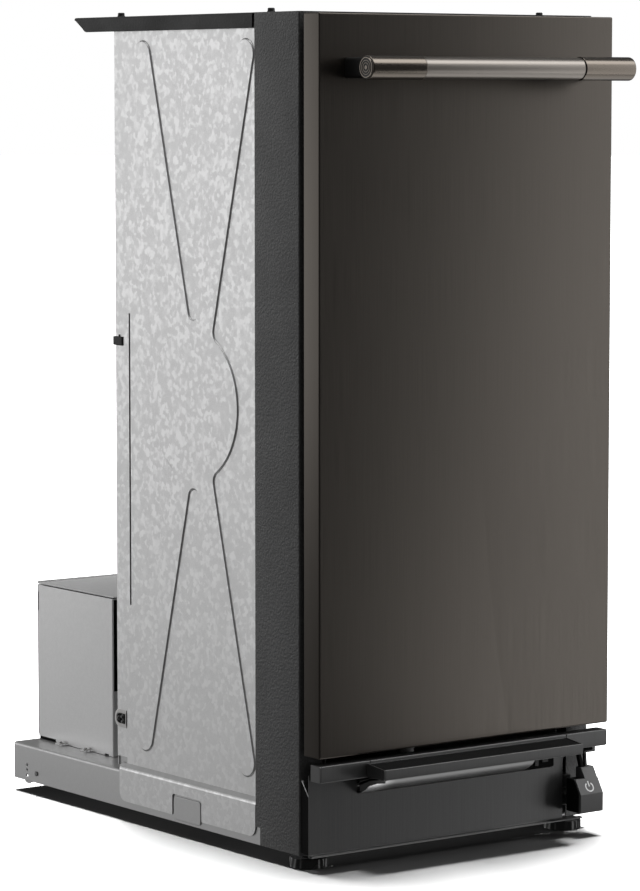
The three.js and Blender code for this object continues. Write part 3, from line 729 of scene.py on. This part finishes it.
def toe_cross_bar():
    """A channel with closed ends and two seams in its face."""
    low, high, deep, half = 93.3, 110.5, 16, 186.4
    section = rounded([(0, low, 1.2), (deep, low), (deep, low + 2), (2, low + 2), (2, high - 2),
                       (deep, high - 2), (deep, high, 0.6), (0, high, 1.2)])
    bm = solid(plate, "x", section, -half, half)
    seams = bmesh.new()
    for x in (-125.6, 132.0):
        block(seams, (x, x + 0.9), (-1, 0.9), (90, 120))
    bm = carve(bm, seams)
    for side in SIDES:
        end = rounded([(0.2, low + 0.2, 1.4), (deep, low + 0.2), (deep, high - 0.2), (0.2, high - 0.2, 1.4)])
        plate(bm, "x", end, side * (half - 0.2), side * (half + 1.6))
    return piece("toe_cross_bar_closed", bm, "cabinet", "charcoal_paint", ("toe_cross_bar",), bevel=0.3)


def foot_pedal():
    """A bar with a lip along its front and a ribbed tread let into its top."""
    half, front, back, foot = 130.0, -30.0, -0.6, 94.2

    def top_at(d):
        return 105 + 3 * (d - front) / (back - front)

    tray = rounded([(front, foot, 1.2), (back, foot), (back, 108), (back - 2.4, top_at(back - 2.4)),
                    (back - 2.4, 105.2), (front + 2.2, 102.6), (front + 2.2, 105.1, 0.3), (front, 105, 0.8)])
    bm = solid(plate, "x", tray, -half + 1.4, half - 1.4)
    end = rounded([(front + 0.3, foot + 0.2, 1.0), (back, foot + 0.2), (back, 108), (front + 0.3, 105, 0.8)])
    for side in SIDES:
        plate(bm, "x", end, side * (half - 1.4), side * half)
    piece("foot_pedal_tray", bm, "pedal", "pedal_plastic", ("foot_pedal",), bevel=0.2,
          look=LOOKS["charcoal_paint"])
    first, last, count = back - 2.7, front + 2.6, 9
    ribs = [(first, 103.5)]
    pitch = (last - first) / count
    for k in range(count):
        d = first + k * pitch
        ribs += [(d + pitch * share, top_at(d) - drop)
                 for share, drop in ((0.0, 1.5), (0.2, 0.6), (0.7, 0.8), (0.9, 1.7))]
    ribs.append((last, 101.5))
    bm = solid(plate, "x", ribs, -half + 1.7, half - 1.7)
    return piece("foot_pedal_tread", bm, "pedal", "pedal_plastic", look=BLACK_TREAD_AND_SHADE)


def start_button():
    """A sloped key with a near-black back that stands in for shade, and a power symbol, which hangs from an
    arm and a strip.
    """
    left, right = 144, 175
    shell = rounded([(-10, 26, 1.6), (-6.4, 26), (-6.4, 47), (2.0, 61), (-1.1, 61), (-10, 46, 2.0)])
    bm = solid(plate, "x", shell, left, right)
    neck = rounded([(-1.6, 60.2), (14, 60.2), (14, 72, 0.8), (5.5, 72, 0.8)])
    plate(bm, "x", neck, 157, 174.4)
    skin(bm, "z", [(rectangle(160, 166, 0, 6, 1), 24.4), (rectangle(159, 167, -1, 7, 1), 26.3)])
    piece("start_button_key", bm, "start_lever", "black_plastic", ("start_button",), bevel=0.5, segments=3,
          look=KEY)
    # the back is near black: painted shade for the dark side of the key
    back = rounded([(-6.6, 26.3), (14, 26.3, 0.8), (14, 60.8, 0.6), (1.6, 60.8), (-6.6, 46.6)])
    piece("start_button_back", solid(plate, "x", back, left + 0.5, right - 0.5), "start_lever",
          "black_plastic", bevel=0.3, look=BLACK_TREAD_AND_SHADE)
    bm = solid(plate, "x", rounded([(6, 71), (9.5, 71), (11.5, 91, 1), (8, 91, 1)]), 163.6, 166.4)
    piece("start_button_strip", bm, "start_lever", "black_plastic", bevel=0.3)
    bm = solid(skin, "z", [(rectangle(158, 162.6, 6, 11, 0.6), 71.0),
                           (rectangle(153, 157, 7, 11, 0.6), 90.8)])
    turned(bm, "x", (0, 9, 90.0), [(2, 152), (2, 174.5)], 16)
    piece("start_button_arm", bm, "start_lever", "black_plastic", bevel=0.3, look=BLACK_TREAD_AND_SHADE)
    slope = Vector((0, 15.5, 26.0)).normalized()
    out = Vector((0, -slope.z, slope.y))
    centre = Vector((159.3, -6.0, 52.8))

    def on_slope(u, v, lift):
        p = centre + Vector((u, 0, 0)) + slope * v + out * lift
        return at(*p)

    bm = bmesh.new()
    gap, outer, inner, count = math.radians(36), 5.6, 4.1, 30
    path = [(math.pi / 2 + gap) + (2 * math.pi - 2 * gap) * k / count for k in range(count + 1)]
    loft(bm, [[on_slope(r * math.cos(a), r * math.sin(a), lift)
               for r, lift in ((inner, -0.1), (outer, -0.1), (outer, 0.12), (inner, 0.12))] for a in path])
    bar = [(-0.75, 0.4), (0.75, 0.4), (0.75, 6.6), (-0.75, 6.6)]
    loft(bm, [[on_slope(u, v, lift) for u, v in bar] for lift in (-0.1, 0.12)])
    return piece("start_symbol", bm, "start_lever", "black_plastic", look=WHITE_PRINT)


def side_bracket():
    """A plate under the side panel's rear edge, round at its free end, with two nuts in dark seats."""
    def tongue(d0, d1, z0, z1, radius):
        return rounded([(d0, z0), (d1, z0, radius), (d1, z1, radius), (d0, z1)])

    rim, seat, face, back = -187.0, -186.8, -186.6, -185.2
    bm = solid(plate, "x", tongue(351.0, 373.6, 101.0, 120.0, 9.0), face, back)
    plate(bm, "x", tongue(351.0, 371.0, 103.0, 118.0, 7.4), rim, face + 0.2,
          [tongue(352.5, 369.6, 104.4, 116.6, 6.0)])
    piece("side_bracket_plate", bm, "cabinet", "zinc_plated", ("side_bracket",), bevel=0.25)
    bm = solid(plate, "x", tongue(352.8, 369.0, 105.0, 116.0, 5.4), seat, face + 0.2)
    piece("side_bracket_seat", bm, "cabinet", "zinc_plated", look=BLACK_TREAD_AND_SHADE)
    return hex_screws("side_bracket_nuts", "cabinet", [
        ((-186.25, d, z), "x", -1) for d, z in ((365.4, 110.5), (357.6, 112.6), (356.6, 107.4))],
        2.3, "dark_steel")


def pedal_lever():
    """The bar that the pedal rides on, with a curved apron behind the toe panel's slot."""
    left, right = -126, 88
    d, z = 62.0, 72.0
    arm = [(-14, 92.2), (-2, 90.0), (18, 82.3), (d, z - 1.5), (d, z + 1.5), (20, 84.6), (-0.8, 92.2),
           (-3.2, 94.2), (-14, 94.2)]
    bm = solid(plate, "x", arm, left, right)
    plate(bm, "x", [(d, z - 1.5), (d + 23, z), (d + 23, z + 3), (d, z + 1.5)], -12, 12)
    turned(bm, "x", (0, d, z), [(4.6, -150), (5.0, -149.5), (5.0, 149.5), (4.6, 150)], 24)
    bow = [(-3.0, 90.8), (-1.6, 87.6), (0.4, 84.9), (3.0, 82.4), (6.0, 80.2), (9.4, 78.2), (13.0, 76.3),
           (16.4, 74.9)]
    plate(bm, "x", bow + [(d + 0.5, z + 1.2) for d, z in reversed(bow)], left, right)
    cheek = [(-26, 91.0), (-12, 88.6), (0, 84.6), (8, 79.6), (16.4, 74.9), (17.0, 87.2), (-2, 92.6),
             (-26, 94.4)]
    plate(bm, "x", cheek, left, left + SHEET)
    # the apron's bright left end is a painted highlight
    return piece("pedal_lever_apron", bm, "pedal", "zinc_plated", ("pedal_lever",), bevel=0.15,
                 look=PAINTED_HIGHLIGHT_END)


def slot_stop():
    """The dark guide that fills the right-hand end of the toe panel's slot."""
    bm = solid(block, (89.4, 129.4), (17.0, 18.2), (75.2, 92.0))
    piece("slot_guide", bm, "cabinet", "black_plastic", bevel=0.2, look=BLACK_TREAD_AND_SHADE)
    bm = bmesh.new()
    for x, z in (((94.0, 100.0), (79.0, 84.5)), ((103.0, 108.0), (77.5, 88.0)),
                 ((113.0, 121.0), (80.5, 86.0))):
        block(bm, x, (15.8, 17.2), z)
    return piece("slot_guide_clips", bm, "cabinet", "black_plastic", bevel=0.3)


def side_clip():
    """A small block with a pin, on the left side's rear edge."""
    bm = solid(block, (-187.6, -183.0), (354.8, 371.6), (511.2, 520.6))
    turned(bm, "z", (-186.0, 361.0, 0), [(1.2, 520.0), (1.2, 522.8)], 16)
    return piece("side_clip_block", bm, "cabinet", "black_plastic", ("side_clip",), bevel=0.4,
                 look=COVER_BLACK_PAINTED_SHADE)


def front_foot(side):
    """A levelling foot: a fluted cap on a stem."""
    name = SIDES[side]
    x, d, count, flutes = side * 167.0, 47.0, 96, 16
    angles = [2 * math.pi * i / count for i in range(count)]
    rings = []
    for radius, depth, z in ((17.5, 0.0, 0.2), (19.3, 0.0, 0.6), (19.8, 0.5, 2.0), (19.8, 0.5, 8.6),
                             (19.2, 0.0, 10.2), (17.6, 0.0, 10.9)):
        rings.append(([polar(x, d, radius - depth * (1 + math.cos(flutes * a)), a) for a in angles], z))
    bm = solid(skin, "z", rings)
    turned(bm, "z", (x, d, 0), [(10.0, 10.8), (10.0, 12.2), (6.0, 12.5)], 32)
    return piece(f"front_foot_{name}_fluted", bm, f"foot_{name}", "rubber", (f"front_foot_{name}",),
                 look=FOOT_GLOSS)


def waste_bin():
    """A moulded bin with rounded corners, two beads round it and a turned-out rim."""
    half, front, rear, bottom, top, radius = 136.0, 42.0, 352.0, 120.0, 520.0, 16.0
    # (distance out of the plain wall, height), up the inside, over the rim and down the outside
    profile = [(-8.0, bottom + 3.0), (-3.4, bottom + 4.2), (-2.5, bottom + 9), (-2.5, top - 0.6),
               (-1.8, top), (5.2, top), (6.0, top - 0.8), (6.0, top - 7.0), (4.6, top - 7.0),
               (4.6, top - 3.0), (0.0, top - 4.0)]
    for z in (440.0, 250.0):
        profile += [(0.0, z + 8), (1.4, z + 6), (1.4, z - 6), (0.0, z - 8)]
    profile += [(0.0, bottom + 8), (-1.2, bottom + 2.5), (-5.0, bottom)]
    bm = solid(skin, "z", [
        (frame_outline(half + grow, front - grow * 0.8, rear + grow * 0.8, radius + grow), z)
        for grow, z in profile])
    return piece("bin_moulded", bm, "drawer", "grey_plastic", ("bin",), bevel=0.2)


def power_screw(side):
    """A double-start right-hand screw between its two plain journals."""
    name = SIDES[side]
    x, d, lead, count, step = side * SCREW_X, SCREW_D, 12.7, 16, 1.15
    root, crest, low, high = 7.9, 9.5, 70.0, 833.0
    rings = []
    for k in range(int((high - low) / step) + 1):
        z = low + k * step
        ring = []
        for i in range(count):
            share = (2 * (z / lead - i / count)) % 1  # of the way across one of the two threads
            radius = root + (crest - root) * min(1.0, max(0.0, 2.6 - abs(share - 0.5) * 8))
            ring.append(at(*polar(x, d, radius, 2 * math.pi * i / count), z))
        rings.append(ring)
    bm = solid(loft, rings)
    turned(bm, "z", (x, d, 0), [(7, 20), (7, 64.5), (12, 64.5), (12, 68), (9, 70.5)], 24)
    turned(bm, "z", (x, d, 0), [(9, 832.5), (9, 835), (7, 836), (7, 841.5)], 24)
    return piece(f"power_screw_{name}_thread", bm, f"screw_{name}", "zinc_plated", (f"power_screw_{name}",),
                 sharp=60)


def sprocket(node_name, body, x, d, bore):
    """Eight shallow teeth round a bored hub."""
    teeth, root, crest = 8, 12.2, 14.0
    outline = [polar(x, d, radius, 2 * math.pi * (tooth + offset) / teeth) for tooth in range(teeth)
               for radius, offset in ((root, -0.3), (crest, -0.12), (crest, 0.12), (root, 0.3))]
    bm = solid(plate, "z", outline, 26.0, 29.0, [circle(x, d, bore)])
    turned(bm, "z", (x, d, 0), [(bore, 24), (10.0, 24), (10.0, 31), (bore, 31)], 24, loop=True)
    return piece(f"{node_name}_toothed", bm, body, "dark_steel", (node_name,), bevel=0.2)


def drive_chain():
    """Roller links round the three sprockets."""
    centres = [Vector((-SCREW_X, SCREW_D)), Vector((SCREW_X, SCREW_D)), Vector((0.0, GEAR_D))]
    radius, links, steps, points = 16.4, 78, 24, []
    # the line of the pins: an arc round each sprocket
    for i, centre in enumerate(centres):
        before, after = centres[i - 1], centres[(i + 1) % 3]
        first = math.atan2(*reversed(centre - before)) - math.pi / 2
        last = math.atan2(*reversed(after - centre)) - math.pi / 2
        sweep = (last - first) % (2 * math.pi)
        points += [centre + radius * Vector((math.cos(a), math.sin(a)))
                   for a in (first + sweep * k / steps for k in range(steps + 1))]
    # a pin at each pitch along it
    lengths = [(points[(i + 1) % len(points)] - p).length for i, p in enumerate(points)]
    pitch, pins, travelled, due = sum(lengths) / links, [], 0.0, 0.0
    for i, p in enumerate(points):
        while due < travelled + lengths[i] and len(pins) < links:
            pins.append(p.lerp(points[(i + 1) % len(points)], (due - travelled) / lengths[i]))
            due += pitch
        travelled += lengths[i]
    # a roller on each pin, and a link below and above it to the next, set in on every other pair
    bm = bmesh.new()
    for i, pin in enumerate(pins):
        after = pins[(i + 1) % links]
        turned(bm, "z", (*pin, 0), [(2.0, 25.0), (2.0, 30.0)], 10)
        heading = math.atan2(*reversed(after - pin))
        side_on = heading + math.pi / 2
        shape = arc(after, 1.9, side_on - math.pi, side_on, 5) + arc(pin, 1.9, side_on, side_on + math.pi, 5)
        inset = 0.0 if i % 2 else 0.8
        plate(bm, "z", shape, 24.2 + inset, 24.9 + inset)
        plate(bm, "z", shape, 30.1 - inset, 30.8 - inset)
    return piece("drive_chain_links", bm, "cabinet", "dark_steel", ("drive_chain",))


for side in SIDES:
    side_panel(side)
top_cover()
base_pan()
motor_cover()
drawer_front()
handle_bar()
toe_panel()
toe_cross_bar()
foot_pedal()
start_button()
side_bracket()
pedal_lever()
slot_stop()
side_clip()
waste_bin()
drive_chain()
sprocket("drive_sprocket", "gear_shaft", 0.0, GEAR_D, 6.4)
for side, side_name in SIDES.items():
    front_trim(side)
    handle_end(side)
    front_foot(side)
    power_screw(side)
    sprocket(f"screw_sprocket_{side_name}", f"screw_{side_name}", side * SCREW_X, SCREW_D, 7.4)

# CAD nodes whose shape is right, by the slot that each takes its finish from, and how far its edges are
# softened. A * stands for left and right.
KEPT_SHAPES = {
    "galvanised_steel": {"back_panel": 0.6, "drawer_tray": 0.4, "ram_cover": 0.8},
    "black_plastic": {"cord_inlet": 0.5, "start_switch_housing": 0.6, "bag_retainer_*": 0.3,
                      "rear_roller_*": 1.0},
    "zinc_plated": {"drawer_latch": 0.4, "start_plunger": 0.4, "slide_outer_*": 0.2,
                    "slide_middle_*": 0.2, "slide_inner_*": 0.2},
    "grey_plastic": {"drawer_liner": 2.0},
    "dark_steel": {"screw_frame": 0.4, "rear_axle": 0.3, "ram_crosshead": 0.8, "ram_plate": 0.8,
                   "drive_gear": 0.25, "motor_pinion": 0.25, "power_nut_*": 0.8, "screw_bearing_*": 0.4},
    "rubber": {"top_bumper_front_*": 0.3, "top_bumper_rear_*": 0.3},
    "motor_paint": {"motor": 1.0},
}
for slot_name, kept in KEPT_SHAPES.items():
    for pattern, softened in kept.items():
        for side_name in SIDES.values() if "*" in pattern else [""]:
            recast(pattern.replace("*", side_name), slot_name, softened)

hex_screws("back_screws", "cabinet", [
    ((side * 174.0, REAR, z), "d", 1) for side in SIDES for z in (90.0, 260.0, 430.0, 600.0, 770.0)])
hex_screws("pan_screws", "cabinet", [
    ((side * 186.1, d, z), "x", side) for side in SIDES for d, z in ((531.0, 25.0), (93.6, 23.0))], 4.0,
    "dark_steel")
hex_screws("motor_cover_screws", "cabinet", [
    ((side * 156.5, d, DECK + 1.3), "z", 1) for side in SIDES for d in (529.0, 478.0)], 2.8)


# ---------------------------------------------------------------- stage

def look_through(location, yaw, pitch, lens):
    camera = bpy.data.cameras.new("camera")
    camera.lens = lens
    camera.sensor_width = 36.0
    camera.clip_end = 50
    obj = add_object("camera", camera)
    obj.location = location
    obj.rotation_euler = (math.radians(90 - pitch), 0, math.radians(-yaw))
    scene.camera = obj


def lights_only(lamp, floor, on_floor):
    """Links a lamp to the floor alone, or to everything but the floor."""
    group = bpy.data.collections.new(f"{lamp.name}_lights")
    group.objects.link(floor)
    group.collection_objects[0].light_linking.link_state = "INCLUDE" if on_floor else "EXCLUDE"
    lamp.light_linking.receiver_collection = group


def softbox(name, location, target, width, height, power):
    lamp = bpy.data.lights.new(name, "AREA")
    lamp.shape = "RECTANGLE"
    lamp.size, lamp.size_y, lamp.energy = width, height, power
    obj = add_object(name, lamp)
    obj.location = location
    obj.rotation_euler = (Vector(target) - Vector(location)).to_track_quat("-Z", "Y").to_euler()
    return obj


def floor_paint():
    """A plain dark paint, which the floor's own lamp makes white."""
    material, tree, place = start("floor_paint")
    cloud = noise(tree, place, 1 / 0.3)
    colour = blend_colours(tree, cloud, grey(FLOOR_GAIN), grey(FLOOR_GAIN * 1.02))
    matt = node(tree, "ShaderNodeBsdfDiffuse", {"Color": colour})
    tree.links.new(matt.outputs[0], tree.nodes["Material Output"].inputs["Surface"])
    return material


def studio():
    """A pale floor, a white backdrop for the camera, and a soft room that is dim in front of the drawer."""
    mesh = bpy.data.meshes.new("floor")
    reach = 60.0
    mesh.from_pydata([(-reach, -reach, 0), (reach, -reach, 0), (reach, reach, 0), (-reach, reach, 0)],
                     [], [(0, 1, 2, 3)])
    floor = add_object("floor", mesh)
    mesh.materials.append(floor_paint())
    floor.visible_glossy = False
    floor.visible_diffuse = False

    world = bpy.data.worlds.new("studio")
    scene.world = world
    world.use_nodes = True
    tree = world.node_tree
    tree.nodes.clear()
    way = node(tree, "ShaderNodeTexCoord").outputs["Generated"]
    level = ROOM_DIM
    height = node(tree, "ShaderNodeSeparateXYZ", {"Vector": way}).outputs["Z"]
    for toward, first, full, strength, below, above in ROOM:
        facing = node(tree, "ShaderNodeVectorMath", {0: way, 1: Vector(toward).normalized()},
                      operation="DOT_PRODUCT")
        glow = spread(tree, facing.outputs["Value"], first, full, 0.0, strength)
        for fade in (spread(tree, height, *HORIZON, below, 1.0), spread(tree, height, *CEILING, 1.0, above)):
            glow = node(tree, "ShaderNodeMath", {0: glow, 1: fade}, operation="MULTIPLY").outputs[0]
        level = node(tree, "ShaderNodeMath", {0: glow, 1: level}, operation="ADD").outputs[0]
    room = node(tree, "ShaderNodeBackground", {"Strength": level})
    white = node(tree, "ShaderNodeBackground", {"Color": grey(1.0), "Strength": 1.0})
    seen = node(tree, "ShaderNodeLightPath").outputs["Is Camera Ray"]
    mix = node(tree, "ShaderNodeMixShader", {0: seen, 1: room.outputs[0], 2: white.outputs[0]})
    node(tree, "ShaderNodeOutputWorld", {"Surface": mix.outputs[0]})

    scene.view_settings.view_transform = "Standard"
    for name, energy, spread_angle, tilt, lights in SUNS:
        sun = bpy.data.lights.new(name, "SUN")
        sun.energy, sun.angle = energy, math.radians(spread_angle)
        obj = add_object(name, sun)
        obj.rotation_euler = [math.radians(a) for a in tilt]
        lights_only(obj, floor, lights == "floor")
    for lamp in LAMPS:
        lights_only(softbox(*lamp), floor, False)


FLOOR_GAIN = 0.12
# name, strength, disc and tilt in degrees, what it lights
SUNS = [
    ("overhead", 1.3, 40, (-3, -3, 0), "object"),
    ("floor_light", 66.0, 18, (-6, 4.5, 0), "floor"),
]
# The room's light apart from the lamps: a dim level everywhere, and glows as
# (direction, cosine where it starts, cosine where it is full, strength, shares of it well below and above)
ROOM_DIM = 0.08
HORIZON = (-0.20, -0.07)
CEILING = (0.12, 0.42)
ROOM = [
    ((-0.35, 0.93, 0.0), 0.50, 0.95, 1.42, 0.12, 0.25),  # behind and to the left
    ((0.0, 0.0, 1.0), 0.3, 0.9, 0.25, 1.0, 1.0),  # above
    ((0.594, -0.365, 0.719), 0.93, 0.99, 4.2, 1.0, 1.0),  # a strip above and in front
    ((0.35, 0.0, -0.94), 0.70, 0.96, 1.5, 1.0, 1.0),  # the pale floor's own light
]
# name, place, target, width, height, power
LAMPS = [
    ("right_front", (1.60, -1.33, 0.55), (0.12, -0.25, 0.45), 1.05, 2.4, 12.4),
]

look_through(location=(-2.3384, -3.1724, 0.7718), yaw=36.4446, pitch=5.3688, lens=149.02)
studio()
